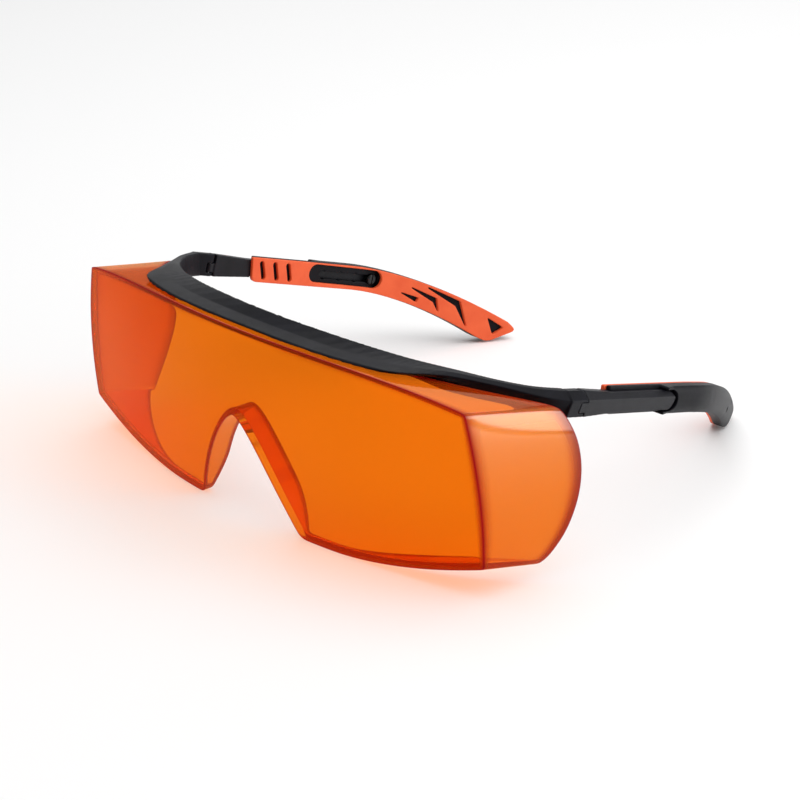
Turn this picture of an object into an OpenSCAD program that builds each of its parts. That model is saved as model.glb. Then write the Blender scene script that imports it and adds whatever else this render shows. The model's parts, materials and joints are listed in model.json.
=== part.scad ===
// Over-spectacles: one-piece tinted visor, brow frame, two folding temples of adjustable length.
// Millimetres. +Z is up, the lens faces -Y, the temples run to +Y, +X is the wearer's left.
// The part stands as it rests on a table: on the lens's lower edge and the two temple tips.

/* [Lens] */
// Half width of the lens front at its upper corners
lens_half_top = 72; // [70:0.5:74]
// Half width of the lens front at its lower corners
lens_half_low = 76.6; // [75:0.2:78]
// Height of the top ridge at the centre
lens_top_z = 55.8; // [54:0.2:58]
// How far the top ridge falls from the centre to the corners
top_fall = 4.4; // [3:0.1:6]
// Height of the lower corners above the rest plane
low_corner_z = 9.5; // [8:0.5:11]
// How far the front bows forward across its width
front_bow = 10; // [8:0.2:12]
// Lean of the front face from the vertical, lower edge rearward
front_lean = 6; // [4:0.5:8]
// Forward bulge of the front between its top and bottom edges, at the centre
front_bulge = 3; // [1:0.2:4]
// Wall thickness of the lens
lens_wall = 1.7; // [1.5:0.1:2.2]
// Depth of the side shields behind the front, at their deepest
shield_depth = 35; // [30:0.5:38]
// How far the side shields flare out behind the lower corners
shield_flare = 4; // [2:0.5:5]

/* [Nose notch] */
// Half width of the nose notch at the lower edge
notch_half = 19.4; // [18:0.2:21]
// Height of the top of the nose notch
notch_top_z = 31.5; // [29:0.5:34]
// Depth of the rim that lines the nose notch
notch_rim = 8; // [6:0.5:10]

/* [Frame] */
// Height of the frame at its hinge ends, and of the front arms there
arm_h = 6.8; // [6.6:0.1:7]
// Height of the temple shells
shell_h = 7.8; // [7.6:0.1:8]
// Thickness of the temples
arm_t = 4.4; // [4:0.1:5]

/* [Temples] */
// Half distance between the temples at the hinges
hinge_half = 72.3; // [71:0.1:73]
// Distance of the hinge pins behind the lens's upper corners
hinge_y = 43.2; // [42:0.2:45]
// Height of the hinge pins' middle
hinge_z = 42.6; // [42:0.1:43]
// Angle at which the temples fall towards the rear
droop = 15.2; // [14.6:0.1:15.6]
// Angle at which the temples draw together towards the rear
toe_in = 4.6; // [4:0.1:5]
// Length of a temple from its pin to its tip, at the shortest setting
temple_len = 118; // [115:0.5:120]
// Distance between two length settings
detent_pitch = 6.8; // [6:0.1:7]
// Number of length settings
detents = 4; // [3:1:4]

/* [Hinge] */
// Radius of the hinge pins
pin_r = 0.6; // [0.5:0.05:0.65]
// Radial running clearance of the pins in the arms
pin_gap = 0.05; // [0.03:0.01:0.08]

/* [Hidden] */
eps = 0.02;
fine = 48;
mid_y = 70.78;           // the middle of the whole length, so that the origin is under it

// ---------- shared functions ----------
function lerp(a, b, t) = a + (b - a) * t;
function sq(a) = a * a;
function unit(v) = v / norm(v);
// The curve crosses the middle plane squarely, so the point before the first is the second one mirrored
function spline(p, k, t) =
    let (a = k == 0 ? [-p[1][0], p[1][1], p[1][2]] : p[k - 1], b = p[k], c = p[k + 1], d = p[min(k + 2, len(p) - 1)])
    0.5 * (2 * b + (c - a) * t + (2 * a - 5 * b + 4 * c - d) * t * t + (3 * b - a - 3 * c + d) * t * t * t);
function along(p, u) = let (k = min(floor(u), len(p) - 2)) spline(p, k, u - k);

// ---------- lens ----------
lens_cols = 64;
lens_rows = 8;
top_y0 = -front_bow - 0.4;

// Height of the top ridge and of the lower edge, by position across the front
function top_z(s) = lens_top_z - top_fall * (0.33 * s * s + 0.67 * pow(s, 4));
function low_z(x) =
    let (a = abs(x), n = a / notch_half)
    a < notch_half ? notch_top_z * (1 - pow(n, 1.55)) * (1 - 0.05 * n)
                   : low_corner_z * pow(max(0, (a - 30) / (lens_half_low - 30)), 1.7);
// Rearward place of the front surface at a point across and up
function front_y(x, z) =
    let (s = x / lens_half_top, zt = top_z(min(1, abs(s))), v = (z - zt / 2) / (zt / 2))
    top_y0 + front_bow * (1.14 * s * s - 0.14 * pow(s, 4)) + (zt - z) * tan(front_lean)
    - front_bulge * (1 - v * v) * (1 - 0.75 * min(1, s * s));
// Columns crowd together over the nose notch
function col(i) =
    let (t = 2 * i / lens_cols - 1, a = abs(t), n = notch_half / lens_half_low)
    sign(t) * (a < 0.5 ? n * 2 * a : lerp(n, 1, 2 * a - 1));
function outer_at(i, j) =
    let (u = col(i), v = j / lens_rows, zl = low_z(u * lens_half_low), zt = top_z(u),
         x = u * lerp(lens_half_low, lens_half_top, v) + pow(u, 5) * 1.8 * 4 * v * (1 - v), z = lerp(zl, zt, v))
    [x, front_y(x, z), z];
// The rim of the front face as a closed loop: lower edge, right side, top, left side
function rim_ij(k) =
    k < lens_cols ? [k, 0] :
    k < lens_cols + lens_rows ? [lens_cols, k - lens_cols] :
    k < 2 * lens_cols + lens_rows ? [2 * lens_cols + lens_rows - k, lens_rows] :
    [0, 2 * (lens_cols + lens_rows) - k];
rim_n = 2 * (lens_cols + lens_rows);
function rim_at(k) = let (m = (k + rim_n) % rim_n, ij = rim_ij(m)) outer_at(ij[0], ij[1]);
// Direction into the face from the rim, in the plane of the front
function rim_in(k) =
    let (a = rim_at(k - 1), b = rim_at(k + 1), d = unit([b[0] - a[0], 0, b[2] - a[2]]))
    [-d[2], 0, d[0]];
// Rear edge of the flange that runs round the front face
function shelf_rear(u) =
    [u * 75, -1.5 + 14.7 * u * u + 18.8 * pow(u, 4), lens_top_z - 1.1 - 3 * u * u - 5.9 * pow(u, 4)];
function side_rear(v, s) =
    let (r = shelf_rear(1), b = sin(180 * v))
    [s * (lerp(77.7, r[0], v) + shield_flare * pow(b, 0.55)),
     lerp(25.4, r[1], v) + (shield_depth - 27) * pow(b, 0.8), lerp(4, r[2], v)];
function rim_rear(k) =
    let (ij = rim_ij(k), p = outer_at(ij[0], ij[1]), u = col(ij[0]), a = abs(p[0]))
    ij[1] == lens_rows && ij[0] > 0 && ij[0] < lens_cols ? shelf_rear(u) :
    ij[0] == 0 || ij[0] == lens_cols ? side_rear(ij[1] / lens_rows, sign(u)) :
    a < notch_half ? p + [0, lerp(2.6, notch_rim, sin(min(90, p[2] * 6))), 0] :
    let (w = max(0, (a - 34) / (lens_half_low - 34)))
    [p[0] + sign(u) * 1.1 * w * w, p[1] + lens_wall + 0.4 + 18.5 * pow(w, 1.6), p[2] - 5.5 * w * w * w];

module lens() {
    n = lens_cols + 1;
    m = lens_rows + 1;
    outer = [for (i = [0 : lens_cols]) for (j = [0 : lens_rows]) outer_at(i, j)];
    inner_rim = [for (k = [0 : rim_n - 1]) let (p = rim_at(k) + lens_wall * rim_in(k)) p + [0, lens_wall, 0]];
    function low_in(i) = inner_rim[i];
    function top_in(i) = inner_rim[(2 * lens_cols + lens_rows - i) % rim_n];
    function side_in(i, j) = i == 0 ? inner_rim[(rim_n - j) % rim_n] : inner_rim[lens_cols + j];
    inner = [for (i = [0 : lens_cols]) for (j = [0 : lens_rows])
        let (a = low_in(i), b = top_in(i), v = j / lens_rows, q = lerp(a, b, v))
        i == 0 || i == lens_cols ? side_in(i, j) : [q[0], front_y(q[0], q[2]) + lens_wall, q[2]]];
    rear_out = [for (k = [0 : rim_n - 1]) rim_rear(k)];
    rear_in = [for (k = [0 : rim_n - 1]) rear_out[k] + lens_wall * rim_in(k)];
    o1 = n * m;
    o2 = 2 * o1;
    o3 = o2 + rim_n;
    function g(i, j) = i * m + j;
    function rim_g(k) = let (ij = rim_ij(k % rim_n)) g(ij[0], ij[1]);
    function nx(k) = (k + 1) % rim_n;
    faces = concat(
        [for (i = [0 : lens_cols - 1]) for (j = [0 : lens_rows - 1]) each [
            [g(i, j), g(i, j + 1), g(i + 1, j + 1)], [g(i, j), g(i + 1, j + 1), g(i + 1, j)],
            [o1 + g(i, j), o1 + g(i + 1, j + 1), o1 + g(i, j + 1)],
            [o1 + g(i, j), o1 + g(i + 1, j), o1 + g(i + 1, j + 1)]]],
        [for (k = [0 : rim_n - 1]) each [
            [rim_g(k), rim_g(nx(k)), o2 + nx(k)], [rim_g(k), o2 + nx(k), o2 + k],
            [o1 + rim_g(k), o3 + nx(k), o1 + rim_g(nx(k))], [o1 + rim_g(k), o3 + k, o3 + nx(k)],
            [o2 + k, o2 + nx(k), o3 + nx(k)], [o2 + k, o3 + nx(k), o3 + k]]]);
    color([0.95, 0.45, 0.05, 0.7])
        polyhedron(points = concat(outer, inner, rear_out, rear_in), faces = faces, convexity = 8);
}

// ---------- brow frame ----------
// Rails of the frame's section, from the centre to the hinge, as points that a curve runs through
rail_inner_low = [[0, 0.8, 53.4], [25, 3.4, 52.6], [40, 8.2, 51.3], [47, 12, 50],
                  [54, 17.3, 47.6], [61, 24, 44.6], [66.8, 31.5, 42.4], [70.3, 38.5, 40.3]];
rail_inner_top = [[0, 1, 57.9], [25, 3.9, 57], [40, 8.8, 55.4], [47, 12.3, 54.4],
                  [54, 17.3, 53], [61, 23.6, 51], [66.8, 30.4, 49.2], [70.3, 38, 47.6]];
rail_crease = [[0, -3.2, 56.5], [25, -1.6, 56.1], [40.5, 2.3, 55.4], [47.6, 5.8, 54.9],
               [54.8, 13.8, 53.6], [62.2, 22, 51.2], [68.8, 29.8, 49.1], [72.7, 37.8, 47.5]];
rail_edge = [[0, -7.9, 56.3], [25, -6.6, 56.05], [42, -2.5, 55.35], [49.1, 1, 55],
             [55.2, 11.2, 53.4], [63.4, 21.3, 50.5], [70.4, 29.4, 47.7], [74.7, 37.4, 45.3]];
rail_edge_low = [[0, -8.5, 55.85], [25, -7.2, 55.62], [42, -3, 54.75], [48.4, 1.6, 54.1],
                 [54.7, 11.6, 52.4], [63.2, 21.7, 48.8], [70.2, 29.9, 45.6], [74.2, 37.6, 43.4]];
rail_step = [[0, -1, 55], [25, 1, 54.6], [40.8, 5, 53.7], [48, 8.3, 53],
             [54.6, 12.8, 51.4], [63, 22.2, 47], [69.9, 30.4, 43.6], [74, 38, 41.6]];
rail_hook = [[0, -1, 53.4], [25, 1, 52.6], [40.8, 5, 51.3], [47.8, 8.5, 50],
             [54.4, 13.1, 47.6], [62.8, 22.6, 44.6], [69.6, 31, 42.4], [73.8, 38.4, 40.3]];
frame_rails = [rail_inner_low, rail_inner_top, rail_crease, rail_edge, rail_edge_low, rail_step, rail_hook];
frame_steps = 28;

module frame_beam() {
    r = len(frame_rails);
    last = len(rail_edge) - 1;
    pts = [for (i = [-frame_steps : frame_steps]) for (rail = frame_rails)
        let (p = along(rail, min(abs(i) / frame_steps * last, last - 1e-6))) [sign(i) * p[0], p[1], p[2]]];
    n = 2 * frame_steps;
    sides = [for (i = [0 : n - 1]) for (j = [0 : r - 1])
        let (a = i * r + j, b = i * r + (j + 1) % r) each [[a, a + r, b], [b, a + r, b + r]]];
    ends = [for (j = [1 : r - 2]) each [[0, j, j + 1], [n * r, n * r + j + 1, n * r + j]]];
    polyhedron(points = pts, faces = concat(sides, ends), convexity = 8);
}

// ---------- temple axes ----------
// A temple's own frame: x outward, y along it to the rear, z up; the origin is the pin's middle
module temple_axes() {
    translate([hinge_half, hinge_y, hinge_z]) rotate([-droop, 0, 0]) rotate([0, 0, toe_in]) children();
}
module both(side) { if (side > 0) children(); else mirror([1, 0, 0]) children(); }
half_t = arm_t / 2;
half_h = arm_h / 2;
keel_z = 1.2;            // height of the keel line along the outside
pin_x = -0.9;            // the pin lies inside the middle of the arm's thickness
knuckle_r = 1.2;
end_y = -6.5;            // the hinge block starts this far in front of the pin
clear = 20;              // oversize of cutting shapes that must pass right through
seam_y = 1.2;            // end of the frame behind the pin
seam_gap = 0.15;
lug_low = -2.3;          // the arm's lug sits between the frame's two ears
lug_high = 0.7;
lug_gap = 0.12;
slot_y = -1.7;           // floor of the slot between the ears

// Section of an arm: flat inside, with a keel line along the outside and a slope above it
module keel(inside, low, high) {
    slope_x = lerp(half_t, -0.6, (high - keel_z) / 2.8);
    polygon([[inside, low], [half_t - 0.8, low], [half_t, keel_z], [slope_x, high], [inside, high]]);
}
module bar(y0, y1, inside, low, high) {
    translate([0, y1, 0]) rotate([90, 0, 0]) linear_extrude(y1 - y0) keel(inside, low, high);
}
module upright(r, z0, z1) { translate([pin_x, 0, z0]) cylinder(r = r, h = z1 - z0, $fn = fine); }

module endpiece() {
    difference() {
        union() {
            bar(end_y, 0, -half_t, -half_h, half_h);
            intersection() {
                bar(-0.1, seam_y, -half_t, -half_h, half_h);
                translate([pin_x, -1, -half_h]) cube([clear, clear, arm_h]);
            }
            upright(knuckle_r, -half_h, half_h);
        }
        translate([-clear / 2, slot_y, lug_low]) cube([clear, clear, lug_high - lug_low]);
        upright(pin_r, -clear, clear);
    }
}

module brow_frame() {
    color([0.12, 0.12, 0.14]) {
        difference() {
            union() {
                frame_beam();
                for (s = [1, -1]) both(s) temple_axes() bar(end_y, slot_y + eps, -half_t, -half_h, half_h);
            }
            for (s = [1, -1]) both(s) temple_axes() translate([-6, slot_y, -8]) cube([clear, clear, clear]);
        }
        for (s = [1, -1]) both(s) temple_axes() endpiece();
    }
}

module hinge_pin(side) {
    color([0.7, 0.7, 0.72]) both(side) temple_axes()
        translate([pin_x, 0, -half_h + 0.2]) cylinder(r = pin_r, h = arm_h - 0.4, $fn = fine);
}

// ---------- front arm ----------
nose_y = 46;             // rounded end of the arm's outer bar
nose_r = 2.7;
arm_in = -0.8;           // the outer bar's inner face, against the shell's plate
shell_y = 16.6;          // front end of the shell's plate
tongue_x = 0.4;
tongue_h = 4.4;
knob_y = 65.2;
tongue_end = knob_y + 2.2;
knob_r = 1;

// Side view of the arm: tall at the hinge, tapering to the bar with its round end
module arm_side() {
    y0 = seam_y + seam_gap;
    polygon([[y0, -half_h], [shell_y - 2, -nose_r], [nose_y - nose_r, -nose_r],
             [nose_y - nose_r, nose_r], [shell_y - 2, nose_r], [y0, half_h]]);
    translate([nose_y - nose_r, 0]) circle(r = nose_r, $fn = fine);
}
module lug() {
    inner = pin_x - knuckle_r + 0.15;
    z0 = lug_low + lug_gap;
    h = lug_high - lug_low - 2 * lug_gap;
    intersection() {
        bar(-2, seam_y + 1, -half_t, -half_h - 1, half_h + 1);
        union() {
            translate([inner, 0, z0]) cube([10, seam_y + 1, h]);
            translate([pin_x, slot_y + seam_gap, z0]) cube([8, 2, h]);
            upright(knuckle_r, z0, z0 + h);
        }
    }
}
module front_arm(side) {
    color([0.1, 0.1, 0.11]) both(side) temple_axes() difference() {
        union() {
            difference() {
                intersection() {
                    bar(0, nose_y + 1, -half_t, -half_h - 1, half_h + 1);
                    translate([-4, 0, 0]) rotate([90, 0, 90]) linear_extrude(8) arm_side();
                }
                translate([-5, shell_y - 1.2, -6]) cube([5 + arm_in, 40, 12]);
            }
            lug();
            translate([arm_in + 0.05, nose_y - 4, -tongue_h / 2])
                cube([tongue_x - arm_in - 0.05, tongue_end - nose_y + 4, tongue_h]);
        }
        upright(pin_r + pin_gap, -8, 8);
        translate([-3, knob_y, 0]) rotate([0, 90, 0]) cylinder(r = knob_r, h = 6, $fn = fine);
    }
}

module detent_knob(side) {
    color([0.08, 0.08, 0.09]) both(side) temple_axes() translate([0, knob_y, 0]) rotate([0, 90, 0]) {
        translate([0, 0, -2.4]) cylinder(r = knob_r, h = tongue_x + 2.4, $fn = fine);
        translate([0, 0, -3.2]) cylinder(r = 1.7, h = 0.8, $fn = fine);
    }
}

// ---------- temple shell and pad ----------
curve_y = 58;
top_bend_y = 55;
function bow(y) = let (w = max(0, y - curve_y)) -(sqrt(49 + 0.16 * w * w) - 7);
function edge_top(y) = shell_h / 2 - 0.0031 * sq(max(0, y - top_bend_y));
function edge_low(y) = -shell_h / 2 - 0.0040 * sq(max(0, y - top_bend_y));
function range(a, b, n) = [for (i = [0 : n]) lerp(a, b, i / n)];

// Plan band of the curved blade, between two offsets from its middle line
module band(y0, y1, a, b) {
    ys = concat([y0], [for (y = range(max(y0, curve_y), y1, 10)) if (y > y0) y]);
    back = [for (i = [len(ys) - 1 : -1 : 0]) ys[i]];
    translate([0, 0, -40]) linear_extrude(60)
        polygon(concat([for (y = ys) [a + bow(y), y]], [for (y = back) [b + bow(y), y]]));
}
// Side outline of the blade, with a slanted round tip
module outline(y0, inset) {
    tip_top = temple_len - inset;
    tip_low = temple_len - 10 - inset;
    ys = concat([y0], range(max(y0, top_bend_y), tip_top - 2.2, 9));
    yl = range(tip_low - 1.5, max(y0, top_bend_y), 8);
    rotate([90, 0, 90]) translate([0, 0, -60]) linear_extrude(80) polygon(concat(
        [for (y = ys) [y, edge_top(y) - inset]],
        [[tip_top - 0.4, edge_top(tip_top) - 0.6 - inset], [tip_top, edge_top(tip_top) - 2 - inset],
         [tip_low + 1.6, edge_low(tip_low) + 0.5 + inset], [tip_low, edge_low(tip_low) + inset]],
        [for (y = yl) [y, edge_low(y) + inset]], [[y0, edge_low(y0) + inset]]));
}
plate_x = -0.9;
mouth_y = 47.4;
mouth_r = nose_r + 0.35;
collar_y = 41;
slot_y0 = knob_y - (detents - 1) * detent_pitch;
module temple_shell(side) {
    color([0.1, 0.1, 0.11]) both(side) temple_axes() difference() {
        union() {
            intersection() { band(shell_y, temple_len, -half_t, plate_x); outline(shell_y, 0); }
            intersection() { band(collar_y, temple_len, plate_x - 0.1, half_t); outline(collar_y, 0); }
        }
        translate([plate_x, 0, 0]) rotate([90, 0, 90]) linear_extrude(8) {
            translate([0, -mouth_r]) square([mouth_y - mouth_r, 2 * mouth_r]);
            translate([mouth_y - mouth_r, 0]) circle(r = mouth_r, $fn = fine);
        }
        translate([plate_x, 30, -tongue_h / 2 - 0.1]) cube([tongue_x - plate_x + 0.1, tongue_end - 30 + 0.6, tongue_h + 0.2]);
        translate([-4, slot_y0, -knob_r - 0.15]) cube([4 + plate_x + eps, knob_y - slot_y0, 2 * knob_r + 0.3]);
        for (k = [0 : detents - 1]) translate([-4, slot_y0 + k * detent_pitch, 0]) rotate([0, 90, 0])
            cylinder(r = knob_r + 0.45, h = 4 + plate_x + eps, $fn = fine);
        translate([-8, slot_y0 - 3.5, -2.9]) cube([8 - half_t, knob_y - slot_y0 + 7, 5.8]);
    }
}

pad_t = 1.1;
pad_y = shell_y - 0.8;
module soft_pad(side) {
    color([0.93, 0.36, 0.16]) both(side) temple_axes() difference() {
        intersection() { band(pad_y, temple_len, -half_t - pad_t, -half_t); outline(pad_y, 0.15); }
        translate([-8, slot_y0 - 3.5, -2.9]) cube([8, knob_y - slot_y0 + 7, 5.8]);
        for (k = [0 : 2]) translate([-8, pad_y + 4.2 + 5.2 * k, -3]) rotate([8, 0, 0]) cube([8, 1.2, 5.6]);
    }
}

module placed() { translate([0, -mid_y, 0]) children(); }

placed() lens();
placed() brow_frame();
placed() hinge_pin(1);  // left_hinge_pin
placed() hinge_pin(-1);  // right_hinge_pin
placed() front_arm(1);  // left_front_arm
placed() front_arm(-1);  // right_front_arm
placed() detent_knob(1);  // left_detent_knob
placed() detent_knob(-1);  // right_detent_knob
placed() temple_shell(1);  // left_temple_shell
placed() temple_shell(-1);  // right_temple_shell
placed() soft_pad(1);  // left_soft_pad
placed() soft_pad(-1);  // right_soft_pad
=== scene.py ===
import json
import math

import bmesh
import bpy
from mathutils import Matrix, Vector
from mathutils.geometry import tessellate_polygon


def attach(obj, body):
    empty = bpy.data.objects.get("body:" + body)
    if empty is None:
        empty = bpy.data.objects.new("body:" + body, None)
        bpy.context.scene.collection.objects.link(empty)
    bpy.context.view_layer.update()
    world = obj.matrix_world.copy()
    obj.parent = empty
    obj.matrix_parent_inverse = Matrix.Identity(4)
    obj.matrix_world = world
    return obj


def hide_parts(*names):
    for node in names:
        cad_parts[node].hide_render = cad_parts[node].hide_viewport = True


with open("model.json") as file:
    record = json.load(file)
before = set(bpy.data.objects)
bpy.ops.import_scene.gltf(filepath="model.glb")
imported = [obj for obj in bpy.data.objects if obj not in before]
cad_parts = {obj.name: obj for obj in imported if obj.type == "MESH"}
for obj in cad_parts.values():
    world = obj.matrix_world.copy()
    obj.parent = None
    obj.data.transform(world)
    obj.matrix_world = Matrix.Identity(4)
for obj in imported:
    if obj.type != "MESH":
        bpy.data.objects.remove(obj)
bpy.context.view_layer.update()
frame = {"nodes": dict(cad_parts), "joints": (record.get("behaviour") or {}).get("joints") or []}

MM = 0.001
NODES = frame["nodes"]
JOINTS = {j["name"]: j for j in frame["joints"]}
MID_Y = 70.78          # the part's origin lies this far behind the lens's upper corners, mm
MIRROR = Matrix.Diagonal((-1, 1, 1, 1))


# ---------------------------------------------------------------- helpers
def lerp(a, b, t):
    return a + (b - a) * t


def spread(a, b, n):
    return [lerp(a, b, i / n) for i in range(n + 1)]


def new_object(name, verts, faces):
    mesh = bpy.data.meshes.new(name)
    mesh.from_pydata([tuple(v) for v in verts], [], faces)
    mesh.validate()
    obj = bpy.data.objects.new(name, mesh)
    bpy.context.scene.collection.objects.link(obj)
    fix_normals(obj)
    return obj


def fix_normals(obj):
    bm = bmesh.new()
    bm.from_mesh(obj.data)
    bmesh.ops.remove_doubles(bm, verts=bm.verts, dist=1e-7)
    bmesh.ops.recalc_face_normals(bm, faces=bm.faces)
    bm.to_mesh(obj.data)
    bm.free()


def modify(obj, kind, **values):
    mod = obj.modifiers.new(kind, kind)
    for key, value in values.items():
        setattr(mod, key, value)
    bpy.context.view_layer.objects.active = obj
    with bpy.context.temp_override(object=obj, active_object=obj, selected_objects=[obj]):
        bpy.ops.object.modifier_apply(modifier=mod.name)


def smooth(obj):
    for poly in obj.data.polygons:
        poly.use_smooth = True


def drop(obj):
    mesh = obj.data
    bpy.data.objects.remove(obj)
    bpy.data.meshes.remove(mesh)


def cut(obj, *tools):
    for tool in tools:
        modify(obj, "BOOLEAN", operation="DIFFERENCE", solver="EXACT", object=tool)
        drop(tool)


def join(name, parts):
    verts, faces = [], []
    for part in parts:
        start = len(verts)
        verts += [v.co.copy() for v in part.data.vertices]
        faces += [[start + i for i in p.vertices] for p in part.data.polygons]
        drop(part)
    mesh = bpy.data.meshes.new(name)
    mesh.from_pydata([tuple(v) for v in verts], [], faces)
    obj = bpy.data.objects.new(name, mesh)
    bpy.context.scene.collection.objects.link(obj)
    return obj


def moulded(obj, voxel, rounds=2, factor=0.5):
    """Turns overlapping closed pieces into one skin with softened edges, as an injection moulding has."""
    modify(obj, "REMESH", mode="VOXEL", voxel_size=voxel, use_smooth_shade=True)
    modify(obj, "SMOOTH", factor=factor, iterations=rounds)
    smooth(obj)


def move_points(obj, fn):
    for v in obj.data.vertices:
        v.co = fn(v.co)
    obj.data.update()


def slab(outline, low, high):
    """A closed solid between two copies of a flat outline; low and high place a point on each copy."""
    n = len(outline)
    verts = [low(p) for p in outline] + [high(p) for p in outline]
    tris = tessellate_polygon([[Vector((*p, 0)) for p in outline]])
    faces = [list(t) for t in tris] + [[i + n for i in reversed(t)] for t in tris]
    faces += [[i, (i + 1) % n, (i + 1) % n + n, i + n] for i in range(n)]
    return new_object("tool", verts, faces)


def prism(outline, x0, x1):
    """A slab over an outline of (y, z) points, from x0 to x1."""
    return slab(outline, lambda p: (x0, *p), lambda p: (x1, *p))


def disc(y, z, r, steps=32):
    return [(y + r * math.cos(2 * math.pi * k / steps), z + r * math.sin(2 * math.pi * k / steps))
            for k in range(steps)]


def capsule(y0, z0, y1, z1, r, steps=12):
    """An outline with round ends between two points."""
    a = math.atan2(z1 - z0, y1 - y0)
    ends = [(y1, z1, a - math.pi / 2), (y0, z0, a + math.pi / 2)]
    return [(cy + r * math.cos(start + math.pi * k / steps), cz + r * math.sin(start + math.pi * k / steps))
            for cy, cz, start in ends for k in range(steps + 1)]


# ---------------------------------------------------------------- the temples' own axes
def temple_matrix():
    """Local millimetres to world metres: x outward, y along the temple, z up its pin."""
    ez = Vector(JOINTS["left_fold"]["axis"]).normalized()
    ey = Vector(JOINTS["left_length"]["axis"]).normalized()
    ex = ey.cross(ez)
    pin = Vector(JOINTS["left_fold"]["pos_m"])
    origin = pin - ex * PIN_X * MM
    m = Matrix((ex, ey, ez)).transposed().to_4x4()
    return Matrix.Translation(origin) @ m @ Matrix.Scale(MM, 4)


PIN_X = -0.9
TEMPLE = temple_matrix()


def place_temple(obj, side):
    m = TEMPLE if side == "left" else MIRROR @ TEMPLE
    obj.data.transform(m)
    if side == "right":
        obj.data.flip_normals()


# ---------------------------------------------------------------- materials
class Nodes:
    def __init__(self, name):
        self.mat = bpy.data.materials.new(name)
        self.mat.use_nodes = True
        self.tree = self.mat.node_tree
        self.tree.nodes.clear()
        self.out = self.add("ShaderNodeOutputMaterial")

    def add(self, kind, **values):
        node = self.tree.nodes.new(kind)
        for key, value in values.items():
            if hasattr(node, key) and key not in node.inputs:
                setattr(node, key, value)
            else:
                node.inputs[key].default_value = value
        return node

    def link(self, a, b):
        self.tree.links.new(a, b)

    def noise(self, scale, detail=4, rough=0.5):
        coord = self.add("ShaderNodeTexCoord")
        node = self.add("ShaderNodeTexNoise")
        node.inputs["Scale"].default_value = scale
        node.inputs["Detail"].default_value = detail
        node.inputs["Roughness"].default_value = rough
        self.link(coord.outputs["Object"], node.inputs["Vector"])
        return node.outputs["Fac"]

    def ramp(self, source, stops):
        node = self.add("ShaderNodeValToRGB")
        while len(node.color_ramp.elements) < len(stops):
            node.color_ramp.elements.new(0.5)
        for element, (place, colour) in zip(node.color_ramp.elements, stops):
            element.position = place
            element.color = (*colour, 1)
        self.link(source, node.inputs["Fac"])
        return node.outputs["Color"]

    def range(self, source, low, high):
        node = self.add("ShaderNodeMapRange")
        node.inputs["To Min"].default_value = low
        node.inputs["To Max"].default_value = high
        self.link(source, node.inputs["Value"])
        return node.outputs["Result"]

    def add_up(self, a, b):
        node = self.add("ShaderNodeMath", operation="ADD", use_clamp=True)
        self.link(a, node.inputs[0])
        self.link(b, node.inputs[1])
        return node.outputs["Value"]

    def power(self, source, exponent):
        node = self.add("ShaderNodeMath", operation="POWER")
        self.link(source, node.inputs[0])
        node.inputs[1].default_value = exponent
        return node.outputs["Value"]

    def mix_colour(self, fac, a, colour):
        node = self.add("ShaderNodeMix", data_type="RGBA")
        self.link(fac, node.inputs["Factor"])
        self.link(a, node.inputs["A_Color"] if "A_Color" in node.inputs else node.inputs[6])
        node.inputs[7].default_value = colour
        return node.outputs[2]

    def mix_shader(self, fac, a, b):
        node = self.add("ShaderNodeMixShader")
        if isinstance(fac, float):
            node.inputs["Fac"].default_value = fac
        else:
            self.link(fac, node.inputs["Fac"])
        self.link(a, node.inputs[1])
        self.link(b, node.inputs[2])
        return node.outputs["Shader"]

    def bump(self, source, distance, strength=1.0):
        node = self.add("ShaderNodeBump")
        node.inputs["Distance"].default_value = distance
        node.inputs["Strength"].default_value = strength
        self.link(source, node.inputs["Height"])
        return node.outputs["Normal"]


def moulded_plastic(name, dark, light, shine, rough_low, rough_high, grain, depth):
    n = Nodes(name)
    bsdf = n.add("ShaderNodeBsdfPrincipled")
    n.link(n.ramp(n.noise(160, 5), [(0.3, dark), (0.7, light)]), bsdf.inputs["Base Color"])
    bsdf.inputs["Specular IOR Level"].default_value = shine
    n.link(n.range(n.noise(420, 4), rough_low, rough_high), bsdf.inputs["Roughness"])
    n.link(n.bump(n.noise(grain, 3, 0.6), depth), bsdf.inputs["Normal"])
    n.link(bsdf.outputs["BSDF"], n.out.inputs["Surface"])
    return n.mat


def steel(name):
    n = Nodes(name)
    bsdf = n.add("ShaderNodeBsdfPrincipled")
    bsdf.inputs["Metallic"].default_value = 1.0
    n.link(n.ramp(n.noise(900, 3), [(0.3, (0.42, 0.42, 0.43)), (0.7, (0.6, 0.6, 0.61))]),
           bsdf.inputs["Base Color"])
    n.link(n.range(n.noise(2400, 2), 0.2, 0.38), bsdf.inputs["Roughness"])
    n.link(bsdf.outputs["BSDF"], n.out.inputs["Surface"])
    return n.mat


def elastomer(name):
    n = Nodes(name)
    bsdf = n.add("ShaderNodeBsdfPrincipled")
    n.link(n.ramp(n.noise(220, 5), [(0.3, (0.76, 0.098, 0.026)), (0.7, (0.82, 0.122, 0.034))]),
           bsdf.inputs["Base Color"])
    bsdf.inputs["Specular IOR Level"].default_value = 0.3
    n.link(n.range(n.noise(700, 4), 0.5, 0.66), bsdf.inputs["Roughness"])
    n.link(n.bump(n.noise(5200, 3, 0.6), 0.00004), bsdf.inputs["Normal"])
    n.link(bsdf.outputs["BSDF"], n.out.inputs["Surface"])
    return n.mat


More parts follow.
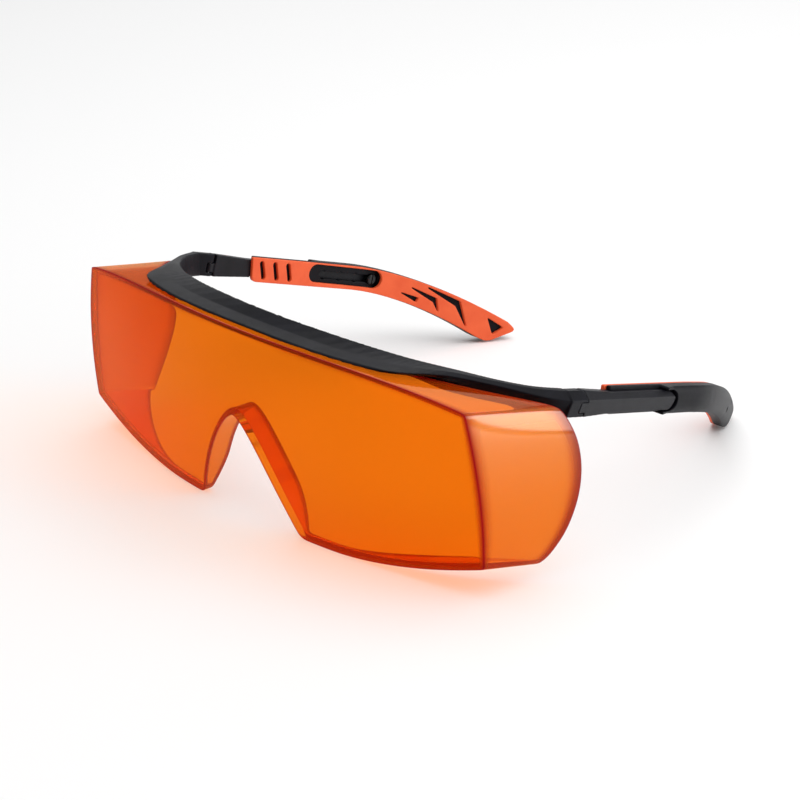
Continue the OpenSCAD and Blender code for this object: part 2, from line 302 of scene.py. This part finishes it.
def tinted_lens(name):
    """Clear orange polycarbonate that glows with its body colour, redder on edges, with a painted
    reflection: a pale, lighter colour and extra gloss painted high on the shields, inside them, on the shelf
    and around the nose notch.
    """
    n = Nodes(name)
    ridge = n.power(n.add("ShaderNodeAttribute", attribute_name="ridge").outputs["Fac"], 1.3)
    # painted reflection: a mask, high on the shields and shelf, that lightens the lens where the lamps'
    # reflection is painted in
    painted_reflection = n.add("ShaderNodeAttribute", attribute_name="painted_reflection").outputs["Fac"]
    through = n.add("ShaderNodeBsdfGlass")
    through.inputs["IOR"].default_value = LENS_IOR
    n.link(n.range(n.noise(60, 3), 0.0, 0.02), through.inputs["Roughness"])
    tint = n.ramp(n.noise(9, 2), [(0.3, LENS_TINT[0]), (0.7, LENS_TINT[1])])
    # painted light: the colour seen through the lens turns pale where the painted reflection mask is high
    painted_light_tint = n.mix_colour(painted_reflection, tint, LENS_PAINTED_LIGHT_TINT)
    n.link(n.mix_colour(ridge, painted_light_tint, LENS_RIDGE), through.inputs["Color"])
    plain = n.ramp(n.noise(14, 3), [(0.35, LENS_BODY[0]), (0.65, LENS_BODY[1])])
    # painted reflection: the lit body colour turns pale orange under the same mask
    body = n.mix_colour(ridge, n.mix_colour(painted_reflection, plain, LENS_PAINTED_REFLECTION), LENS_RIDGE)
    back = n.add("ShaderNodeBsdfTranslucent")
    n.link(body, back.inputs["Color"])
    front = n.add("ShaderNodeBsdfDiffuse")
    n.link(body, front.inputs["Color"])
    glow = n.mix_shader(0.5, back.outputs["BSDF"], front.outputs["BSDF"])
    # the painted reflection mask also raises the share of that pale lit colour
    amount = n.range(n.add_up(ridge, painted_reflection), LENS_GLOW, 0.75)
    matt = n.mix_shader(amount, through.outputs["BSDF"], glow)
    mirror = n.add("ShaderNodeBsdfGlossy")
    n.link(n.range(n.noise(90, 4), 0.06, 0.1), mirror.inputs["Roughness"])
    grazing = n.power(n.add("ShaderNodeLayerWeight", Blend=0.5).outputs["Facing"], 4)
    # the painted reflection mask also adds gloss
    shine = n.add_up(n.range(painted_reflection, 0.0, 0.2), n.range(grazing, 0.0, 0.2))
    skin = n.mix_shader(shine, matt, mirror.outputs["BSDF"])
    path = n.add("ShaderNodeLightPath")
    clear = n.add("ShaderNodeBsdfTransparent")
    clear.inputs["Color"].default_value = LENS_SHADOW
    n.link(n.mix_shader(path.outputs["Is Shadow Ray"], skin, clear.outputs["BSDF"]), n.out.inputs["Surface"])
    return n.mat


LENS_IOR = 1.2
LENS_TINT = ((0.915, 0.42, 0.05), (0.93, 0.45, 0.07))      # at each surface that light crosses
LENS_GLOW = 0.12
LENS_BODY = ((0.88, 0.14, 0.002), (0.91, 0.155, 0.003))
# pale orange painted in as the lamps' reflection on the shields and shelf
LENS_PAINTED_REFLECTION = (1.0, 0.55, 0.09, 1)
# pale through-colour painted in where the lamps' reflection falls on the shields
LENS_PAINTED_LIGHT_TINT = (1.0, 0.8, 0.42, 1)
LENS_RIDGE = (0.4, 0.006, 0.022, 1)
LENS_SHADOW = (0.99, 0.86, 0.74, 1)
GRAIN = 0.00004        # depth of the moulded grain, m
NYLON_FRAME = moulded_plastic("nylon_frame", (0.004, 0.004, 0.006), (0.007, 0.007, 0.011),
                              0.09, 0.32, 0.44, 6000, GRAIN)
NYLON = moulded_plastic("nylon_black", (0.004, 0.004, 0.006), (0.008, 0.008, 0.012),
                        0.19, 0.34, 0.46, 6500, GRAIN)
NYLON_SHELL = moulded_plastic("nylon_shell", (0.003, 0.003, 0.0045), (0.006, 0.006, 0.009),
                              0.1, 0.34, 0.46, 7500, GRAIN)
KNOB = moulded_plastic("acetal_black", (0.012, 0.012, 0.013), (0.02, 0.02, 0.022),
                       0.26, 0.26, 0.36, 4000, 0.00001)
PAD = elastomer("elastomer_orange")
STEEL = steel("pin_steel")
LENS = tinted_lens("polycarbonate_orange")


def finish_piece(obj, body, material, slot, *nodes):
    obj.data.materials.clear()
    obj.data.materials.append(material)
    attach(obj, body)
    if nodes:
        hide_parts(*nodes)


# ---------------------------------------------------------------- lens
HALF_TOP, HALF_LOW = 72.0, 76.6
TOP_Z, TOP_FALL, LOW_CORNER_Z = 55.8, 4.4, 9.5
BOW, LEAN, BULGE, WALL = 10.0, 6.0, 3.0, 1.7
SHIELD_DEPTH, SHIELD_FLARE = 35.0, 4.0
NOTCH_HALF, NOTCH_TOP, NOTCH_RIM = 19.4, 31.5, 8.0
CORNER_REACH = 3.2                              # how far the rear edge's corners are rounded
RIM_CREASE, INNER_CREASE, REAR_CREASE = 0.6, 0.35, 0.7
FLANGE_STEPS = (0.06, 0.5, 0.93, 1.0)           # rows of the flange, from the face to its rear edge
SUPPORT_ROW, SUPPORT_COL = 0.022, 0.986         # rows and columns that keep the face flat up to its rim


def top_z(s):
    return TOP_Z - TOP_FALL * (0.33 * s * s + 0.67 * s ** 4)


def low_z(x):
    a = abs(x)
    n = a / NOTCH_HALF
    if a < NOTCH_HALF:
        return NOTCH_TOP * (1 - n ** 1.55) * (1 - 0.05 * n)
    return LOW_CORNER_Z * max(0.0, (a - 30) / (HALF_LOW - 30)) ** 1.7


def front_y(x, z):
    s = x / HALF_TOP
    zt = top_z(min(1.0, abs(s)))
    v = (z - zt / 2) / (zt / 2)
    return (-BOW - 0.4 + BOW * (1.14 * s * s - 0.14 * s ** 4) + (zt - z) * math.tan(math.radians(LEAN))
            - BULGE * (1 - v * v) * (1 - 0.75 * min(1.0, s * s)))


def across(t):
    n = NOTCH_HALF / HALF_LOW
    a = abs(t)
    return math.copysign(n * 2 * a if a < 0.5 else lerp(n, 1, 2 * a - 1), t)


def face_point(u, v):
    zl, zt = low_z(u * HALF_LOW), top_z(u)
    x = u * lerp(HALF_LOW, HALF_TOP, v) + u ** 5 * 1.8 * 4 * v * (1 - v)
    z = lerp(zl, zt, v)
    return Vector((x, front_y(x, z), z))


def shelf_rear(u):
    return Vector((u * 75, -1.5 + 14.7 * u * u + 18.8 * u ** 4, TOP_Z - 1.1 - 3 * u * u - 5.9 * u ** 4))


def side_rear(v, s):
    r = shelf_rear(1)
    b = max(0.0, math.sin(math.pi * v))
    return Vector((s * (lerp(77.7, r.x, v) + SHIELD_FLARE * b ** 0.55),
                   lerp(25.4, r.y, v) + (SHIELD_DEPTH - 27) * b ** 0.8, lerp(4, r.z, v)))


def make_lens():
    cols, rows = 64, 12
    ts = spread(-1, 1, cols)
    ts = [-1, -SUPPORT_COL] + ts[1:-1] + [SUPPORT_COL, 1]
    us = [across(t) for t in ts]
    vs = [0, SUPPORT_ROW] + spread(0, 1, rows)[1:-1] + [1 - SUPPORT_ROW, 1]
    nu, nv = len(us), len(vs)
    rim = ([(i, 0) for i in range(nu - 1)] + [(nu - 1, j) for j in range(nv - 1)]
           + [(i, nv - 1) for i in range(nu - 1, 0, -1)] + [(0, j) for j in range(nv - 1, 0, -1)])
    n = len(rim)
    outer = {(i, j): face_point(us[i], vs[j]) for i in range(nu) for j in range(nv)}

    def rear(k):
        i, j = rim[k]
        p, u = outer[i, j], us[i]
        a = abs(p.x)
        if j == nv - 1 and 0 < i < nu - 1:
            return shelf_rear(u)
        if i in (0, nu - 1):
            return side_rear(vs[j], math.copysign(1, u))
        if a < NOTCH_HALF:
            deep = math.sin(math.radians(min(90, p.z * 6)))
            return p + Vector((0, lerp(2.6, NOTCH_RIM, deep), 0))
        w = max(0.0, (a - 34) / (HALF_LOW - 34))
        return p + Vector((math.copysign(1.1 * w * w, u), WALL + 0.4 + 18.5 * w ** 1.6, -5.5 * w ** 3))

    def inward(k):
        """Direction from the rim into the face, square to the line between the rim's neighbours."""
        a, b = outer[rim[(k - 1) % n]], outer[rim[(k + 1) % n]]
        d = Vector((b.x - a.x, 0, b.z - a.z)).normalized()
        return Vector((-d.z, 0, d.x))

    def eased(points, reach):
        """Rounds the corners of the rear edge, so that the shelf runs into the side shields."""
        out = []
        for k, p in enumerate(points):
            if abs(outer[rim[k]].x) < 40:
                out.append(p)
                continue
            near = [points[(k + d) % n] for d in range(-24, 25)]
            weights = [math.exp(-((q - p).length / reach) ** 2) for q in near]
            out.append(sum((q * w for q, w in zip(near, weights)), Vector()) / sum(weights))
        return out

    ins = [inward(k) for k in range(n)]
    rears = eased(eased([rear(k) for k in range(n)], CORNER_REACH), CORNER_REACH)
    edge_in = {rim[k]: outer[rim[k]] + WALL * ins[k] + Vector((0, WALL, 0)) for k in range(n)}
    inner = {}
    for i in range(nu):
        for j in range(nv):
            if (i, j) in edge_in:
                inner[i, j] = edge_in[i, j]
            else:
                q = edge_in[i, 0].lerp(edge_in[i, nv - 1], vs[j])
                inner[i, j] = Vector((q.x, front_y(q.x, q.z) + WALL, q.z))
    verts, index, marks = [], {}, []

    def vid(key, p):
        if key not in index:
            index[key] = len(verts)
            verts.append(p)
            marks.append(mark(key))
        return index[key]

    def mark(key):
        """How red a point of the cage is and how much painted reflection it carries: red on edges, a painted
        reflection of the lamps high on the shields.
        """
        if key[1] != "f":
            return (1.0 if key[0] == "o" else 0.35) if key[1:] in edge_in else 0.0, 0.0
        i, j = rim[key[3]]
        ridge = 1.0 if key[2] == len(FLANGE_STEPS) - 1 else 0.0
        # painted reflection: the shields' outside gets lighter towards its top, their inside lighter still
        if i in (0, nu - 1):
            return ridge, 0.06 + 0.4 * vs[j] ** 3 if key[0] == "o" else 0.5 + 0.3 * vs[j] ** 2
        # painted reflection on the shelf, growing towards its ends
        if j == nv - 1:
            return ridge, 0.08 * abs(us[i])
        # painted highlight around the nose notch
        return ridge, 0.1 if abs(outer[i, j].x) < NOTCH_HALF else 0.0

    faces, creases = [], {}
    for i in range(nu - 1):
        for j in range(nv - 1):
            loop = [(i, j), (i, j + 1), (i + 1, j + 1), (i + 1, j)]
            faces.append([vid(("o",) + c, outer[c]) for c in loop])
            faces.append([vid(("n",) + c, inner[c]) for c in reversed(loop)])
    for k in range(n):
        m = (k + 1) % n
        for name, start, shift in (("o", outer, 0), ("n", inner, WALL)):
            prev = [vid((name,) + rim[k], None), vid((name,) + rim[m], None)]
            creases[tuple(sorted(prev))] = RIM_CREASE if name == "o" else INNER_CREASE
            for s, t in enumerate(FLANGE_STEPS):
                row = []
                for q in (k, m):
                    end = rears[q] + shift * ins[q]
                    row.append(vid((name, "f", s, q), start[rim[q]].lerp(end, t)))
                face = [prev[0], prev[1], row[1], row[0]]
                faces.append(face if name == "o" else face[::-1])
                prev = row
            creases[tuple(sorted(prev))] = REAR_CREASE
        a = [vid(("o", "f", len(FLANGE_STEPS) - 1, q), None) for q in (k, m)]
        b = [vid(("n", "f", len(FLANGE_STEPS) - 1, q), None) for q in (k, m)]
        faces.append([a[0], a[1], b[1], b[0]])
    shift = Vector((0, -MID_Y, 0))
    mesh = bpy.data.meshes.new("visor")
    mesh.from_pydata([tuple((p + shift) * MM) for p in verts], [], faces)
    # each point carries how red its edge is and how much painted reflection it gets
    for place, name in enumerate(("ridge", "painted_reflection")):
        attribute = mesh.attributes.new(name, "FLOAT", "POINT")
        attribute.data.foreach_set("value", [m[place] for m in marks])
    obj = bpy.data.objects.new("visor", mesh)
    bpy.context.scene.collection.objects.link(obj)
    bm = bmesh.new()
    bm.from_mesh(mesh)
    layer = bm.edges.layers.float.get("crease_edge") or bm.edges.layers.float.new("crease_edge")
    for e in bm.edges:
        key = tuple(sorted(v.index for v in e.verts))
        if key in creases:
            e[layer] = creases[key]
    bmesh.ops.recalc_face_normals(bm, faces=bm.faces)
    bm.to_mesh(mesh)
    bm.free()
    modify(obj, "SUBSURF", levels=2, render_levels=2)
    smooth(obj)
    finish_piece(obj, "front", LENS, "visor", "lens")


# ---------------------------------------------------------------- temple shells and pads
HALF_T, SHELL_H = 2.2, 7.8
SHELL_Y, COLLAR_Y, TIP_Y = 16.6, 41.0, 118.0
PLATE_X, TONGUE_X, TONGUE_H = -0.9, 0.4, 4.4
NOSE_R, MOUTH_Y = 2.7, 47.4
KNOB_Y, KNOB_R, PITCH, DETENTS = 65.2, 1.0, 6.8, 4
SLOT_Y = KNOB_Y - (DETENTS - 1) * PITCH
CURVE_Y, BEND_Y, PAD_T = 58.0, 55.0, 1.1
WINDOW_Y, WINDOW_R = (41.0, 65.4), 2.9
RECESSES = ((98.2, -7.3), (105.2, -5.8))      # two small hollows on the outside near the tip


def bow(y):
    w = max(0.0, y - CURVE_Y)
    return 7 - math.sqrt(49 + 0.16 * w * w)


def edge_top(y):
    return SHELL_H / 2 - 0.0031 * max(0.0, y - BEND_Y) ** 2


def edge_low(y):
    return -SHELL_H / 2 - 0.0040 * max(0.0, y - BEND_Y) ** 2


def rounded(points, radii, steps=6):
    """Rounds the corners of an outline, each by its own radius."""
    out = []
    for i, (p, r) in enumerate(zip(points, radii)):
        if r <= 0:
            out.append(p)
            continue
        p = Vector(p)
        a = Vector(points[i - 1]) - p
        b = Vector(points[(i + 1) % len(points)]) - p
        cut_in = min(r, 0.49 * a.length, 0.49 * b.length)
        start, end = p + a.normalized() * cut_in, p + b.normalized() * cut_in
        for k in range(steps + 1):
            t = k / steps
            q = start * (1 - t) ** 2 + p * 2 * t * (1 - t) + end * t * t
            out.append((q.x, q.y))
    return out


def blade(y0, inset, tip=TIP_Y, lean=0.0, corner=0.4):
    """Side outline of a temple from y0 to its slanted tip; lean draws its upper front corner forward."""
    top_end, low_end = tip - inset - 3.4, tip - 10 - inset - 3.4
    top = [(y, edge_top(y) - inset) for y in spread(max(y0, BEND_Y), top_end, 24)]
    low = [(y, edge_low(y) + inset) for y in spread(low_end, max(y0, BEND_Y), 22)]
    nose = [(tip - inset, edge_top(tip) - 1.0 - inset),
            (tip - 9.2 - inset, edge_low(tip - 10) + 0.2 + inset)]
    points = [(y0 - lean, edge_top(y0) - inset)] + top + nose + low + [(y0, edge_low(y0) + inset)]
    radii = [0.6] + [0] * len(top) + [3.2, 3.6] + [0] * len(low) + [corner]
    return rounded(points, radii)


def bend(p):
    return Vector((p.x + bow(p.y), p.y, p.z))


def straight_cut(x0, x1, y0, y1, half_z):
    """A box to cut before the blade is bent, shaped so that its hollow comes out straight after the bend."""
    ys = spread(y0, y1, 24)
    outline = [(x0 - bow(y), y) for y in ys] + [(x1 - bow(y), y) for y in reversed(ys)]
    return slab(outline, lambda p: (*p, -half_z), lambda p: (*p, half_z))


def crown(p):
    """Rounds the outer face of the sleeve between its top and bottom edges."""
    if p.x < 0:
        return p
    top, low = edge_top(min(p.y, TIP_Y)), edge_low(min(p.y, TIP_Y))
    v = (2 * p.z - top - low) / (top - low)
    ease = min(1.0, p.x / HALF_T)
    fade = min(1.0, max(0.0, (p.y - COLLAR_Y) / 4))
    return Vector((p.x - 1.1 * ease * fade * min(1.0, abs(v)) ** 3.2, p.y, p.z))


def make_shell(side):
    plate = prism(blade(SHELL_Y, 0, TIP_Y - 0.5, 1.2, 1.6), -HALF_T, PLATE_X)
    cut(plate, prism(capsule(SLOT_Y, 0, KNOB_Y, 0, KNOB_R + 0.15), -5, 0))
    cut(plate, *[prism(disc(SLOT_Y + k * PITCH, 0, KNOB_R + 0.45), -5, 0) for k in range(DETENTS)])
    cut(plate, straight_cut(-6, -HALF_T, SLOT_Y - 3.5, KNOB_Y + 3.5, 2.9))
    sleeve = prism(blade(COLLAR_Y, 0, TIP_Y - 0.5), PLATE_X - 0.1, HALF_T)
    mouth = NOSE_R + 0.35
    cut(sleeve, prism(capsule(20, 0, MOUTH_Y - mouth, 0, mouth, 24), PLATE_X, 5),
        straight_cut(PLATE_X - 0.05, TONGUE_X + 0.15, 30, KNOB_Y + 2.9, TONGUE_H / 2 + 0.15),
        prism([(SLOT_Y - 2, -2), (KNOB_Y + 2, -2), (KNOB_Y + 2, 2), (SLOT_Y - 2, 2)], -5, 0))
    cut(plate, straight_cut(PLATE_X - 0.05, 1, 30, KNOB_Y + 2.9, TONGUE_H / 2 + 0.15))
    cut(sleeve, *[prism(rounded([(y - 1.0, z + 0.5), (y + 1.0, z + 0.9), (y + 0.3, z - 1.0)], [0.2] * 3),
                        HALF_T - 1.1, 5) for y, z in RECESSES])
    obj = join(side + "_shell", [plate, sleeve])
    moulded(obj, 0.2, 3)
    move_points(obj, crown)
    move_points(obj, bend)
    place_temple(obj, side)
    finish_piece(obj, side + "_temple", NYLON_SHELL, "shell", side + "_temple_shell")


def bent_bar(start, corner, end, width):
    """A bar that grows from a point to its corner and thins again to its end, as an outline."""
    a, b, c = Vector(start), Vector(corner), Vector(end)
    side_a = Vector((-(b - a).y, (b - a).x)).normalized()
    side_c = Vector((-(c - b).y, (c - b).x)).normalized()
    mitre = (side_a + side_c).normalized() * width * 0.62
    half = width * 0.14
    points = [a + side_a * half, b + mitre, c + side_c * half,
              c - side_c * half, b - mitre, a - side_a * half]
    return [(p.x, p.y) for p in points]


def make_pad(side):
    inset = 0.1
    y0 = SHELL_Y - 0.8
    x0, x1 = -HALF_T - PAD_T, -HALF_T - 0.03
    pad = prism(blade(y0, inset, TIP_Y, 1.4, 1.8), x0, x1)
    window = capsule(WINDOW_Y[0], 0.5, WINDOW_Y[1], 0.2, WINDOW_R, 20)
    tools = [window]
    for k in range(3):
        y = y0 + 3.4 + 5.3 * k
        tools.append(capsule(y - 0.8, 2.1, y + 0.8, -2.1, 0.8))
    # three bars that step up in size towards the tip, then a triangle
    tools.append(rounded([(74.6, -2.4), (82.6, -3.7), (82.0, -5.3)], [0.1, 0.3, 0.3]))
    tools.append(bent_bar((79.4, -0.7), (88.2, -3.7), (90.0, -7.2), 1.5))
    tools.append(bent_bar((85.0, 0.1), (96.2, -3.7), (100.4, -10.6), 1.85))
    tools.append(rounded([(107.0, -6.6), (113.4, -9.2), (110.0, -12.2)], [0.8, 0.8, 0.8]))
    cut(pad, *[prism(outline, -9, 9) for outline in tools])
    obj = join(side + "_pad", [pad])
    moulded(obj, 0.16, 2)
    move_points(obj, bend)
    place_temple(obj, side)
    finish_piece(obj, side + "_temple", PAD, "pad", side + "_soft_pad")


# ---------------------------------------------------------------- pieces that refine their CAD solids
def refined(node, name, body, voxel, rounds, material, slot):
    source = NODES[node]
    mesh = source.data.copy()
    obj = bpy.data.objects.new(name, mesh)
    bpy.context.scene.collection.objects.link(obj)
    mesh.transform(source.matrix_world)
    mesh.transform(Matrix.Scale(1 / MM, 4))
    fix_normals(obj)
    moulded(obj, voxel, rounds)
    obj.data.transform(Matrix.Scale(MM, 4))
    finish_piece(obj, body, material, slot, node)


def make_knob(side):
    """The snap stud: a neck and a round head, split by a groove."""
    steps = 40
    profile = [(0.001, -3.2), (1.25, -3.2), (1.6, -3.0), (1.7, -2.75), (1.62, -2.45),
               (KNOB_R, -2.38), (KNOB_R, TONGUE_X), (0.001, TONGUE_X)]
    verts, faces = [], []
    for radius, x in profile:
        for k in range(steps):
            a = 2 * math.pi * k / steps
            verts.append((x, KNOB_Y + radius * math.cos(a), radius * math.sin(a)))
    for r in range(len(profile) - 1):
        for k in range(steps):
            m = (k + 1) % steps
            faces.append([r * steps + k, r * steps + m, (r + 1) * steps + m, (r + 1) * steps + k])
    faces.append(list(range(steps)))
    faces.append([(len(profile) - 1) * steps + k for k in reversed(range(steps))])
    obj = new_object(side + "_knob", verts, faces)
    groove = 0.22
    cut(obj, prism([(KNOB_Y - groove, -3), (KNOB_Y + groove, -3),
                    (KNOB_Y + groove, 3), (KNOB_Y - groove, 3)], -5, -2.3))
    fix_normals(obj)
    place_temple(obj, side)
    finish_piece(obj, side + "_arm", KNOB, "knob", side + "_detent_knob")


make_lens()
refined("brow_frame", "brow", "front", 0.2, 4, NYLON_FRAME, "frame")
for side in ("left", "right"):
    refined(side + "_front_arm", side + "_arm", side + "_arm", 0.18, 3, NYLON, "arm")
    make_shell(side)
    make_pad(side)
    make_knob(side)
    pin = NODES[side + "_hinge_pin"]
    pin.data.materials.clear()
    pin.data.materials.append(STEEL)


# ---------------------------------------------------------------- stage, light and camera
def make_stage():
    n = Nodes("floor_pale")
    bsdf = n.add("ShaderNodeBsdfPrincipled")
    n.link(n.ramp(n.noise(3, 2), [(0.0, (0.93, 0.93, 0.93)), (1.0, (0.95, 0.95, 0.95))]),
           bsdf.inputs["Base Color"])
    bsdf.inputs["Roughness"].default_value = 0.9
    bsdf.inputs["Specular IOR Level"].default_value = 0.1
    n.link(bsdf.outputs["BSDF"], n.out.inputs["Surface"])
    half = 6.0
    corners = [(-half, -half, 0), (half, -half, 0), (half, half, 0), (-half, half, 0)]
    floor = new_object("floor", corners, [[0, 1, 2, 3]])
    floor.data.materials.append(n.mat)


def area_light(name, place, target, size, power):
    data = bpy.data.lights.new(name, "AREA")
    data.shape = "RECTANGLE"
    data.size, data.size_y = size
    data.energy = power
    obj = bpy.data.objects.new(name, data)
    bpy.context.scene.collection.objects.link(obj)
    obj.location = place
    obj.rotation_euler = (Vector(target) - Vector(place)).to_track_quat("-Z", "Y").to_euler()


def make_light():
    world = bpy.data.worlds.new("studio")
    bpy.context.scene.world = world
    world.use_nodes = True
    back = world.node_tree.nodes["Background"]
    back.inputs["Color"].default_value = (1, 1, 1, 1)
    back.inputs["Strength"].default_value = 0.34
    area_light("top", (0.1, 0.1, 1.1), (0, 0, 0), (1.6, 1.6), 12.2)
    area_light("key", (0.9, 0.5, 0.8), (0, 0, 0.03), (0.7, 0.7), 2.5)
    area_light("side", (1.05, 0.85, 0.3), (0, 0, 0.03), (1.3, 0.5), 8)
    area_light("back", (-0.75, 0.85, 0.5), (0, 0, 0.04), (0.9, 0.5), 1.2)


def make_camera():
    right = Vector((0.71666, 0.69662, 0.03322)).normalized()
    back = Vector((0.63497, -0.67146, 0.38204)).normalized()
    up = back.cross(right)
    data = bpy.data.cameras.new("camera")
    data.sensor_width = 36
    data.lens = 93.6
    data.clip_start = 0.01
    cam = bpy.data.objects.new("camera", data)
    bpy.context.scene.collection.objects.link(cam)
    m = Matrix((right, up, back)).transposed().to_4x4()
    m.translation = Vector((377.7, -346.3 - MID_Y, 245.4)) * MM
    cam.matrix_world = m
    bpy.context.scene.camera = cam


make_stage()
make_light()
make_camera()
bpy.context.scene.view_settings.view_transform = "Standard"
